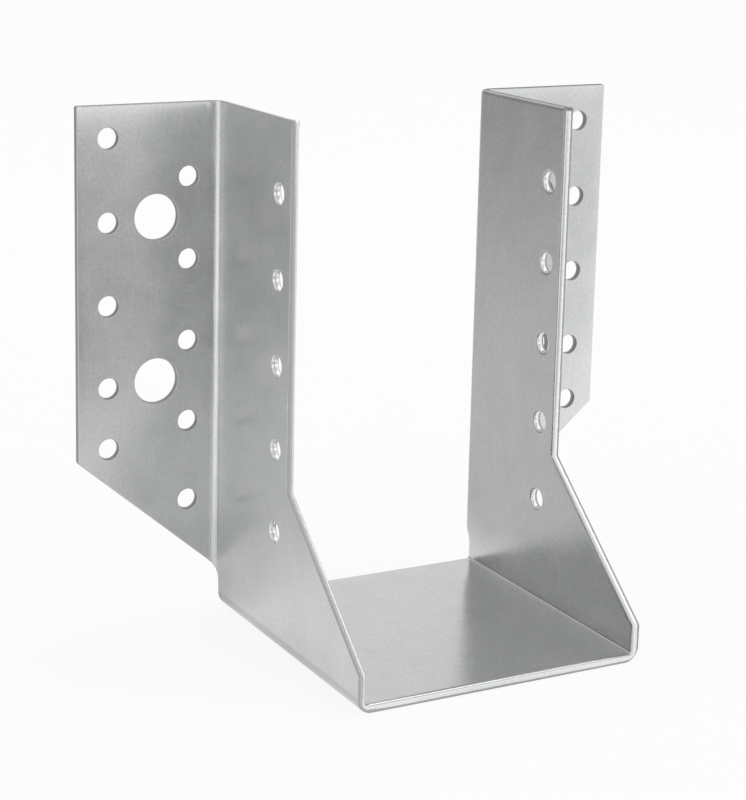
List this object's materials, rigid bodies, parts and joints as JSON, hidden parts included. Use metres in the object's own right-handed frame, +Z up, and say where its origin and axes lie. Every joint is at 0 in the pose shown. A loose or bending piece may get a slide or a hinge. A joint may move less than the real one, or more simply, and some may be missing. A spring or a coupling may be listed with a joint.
{
  "type": "joist hanger",
  "caption": "Face-fixed joist hanger folded from sheet steel: a seat between side walls with sloping fronts, and outward header flanges punched for nails and bolts.",
  "frame": {"origin": "middle of the overall width and depth, on the surface that the seat stands on", "axes": "+X across the joist, to the right as seen from the front; +Y along the joist towards the header; +Z up"},
  "size_m": [0.1466, 0.0776, 0.126],
  "materials": {
    "galvanised_steel": "pre-galvanised sheet steel, half-bright and slightly cool, with fine rolling streaks, handling scratches and bare sheared edges"
  },
  "bodies": {
    "root": {"joist_hanger": "galvanised_steel"}
  },
  "joints": []
}
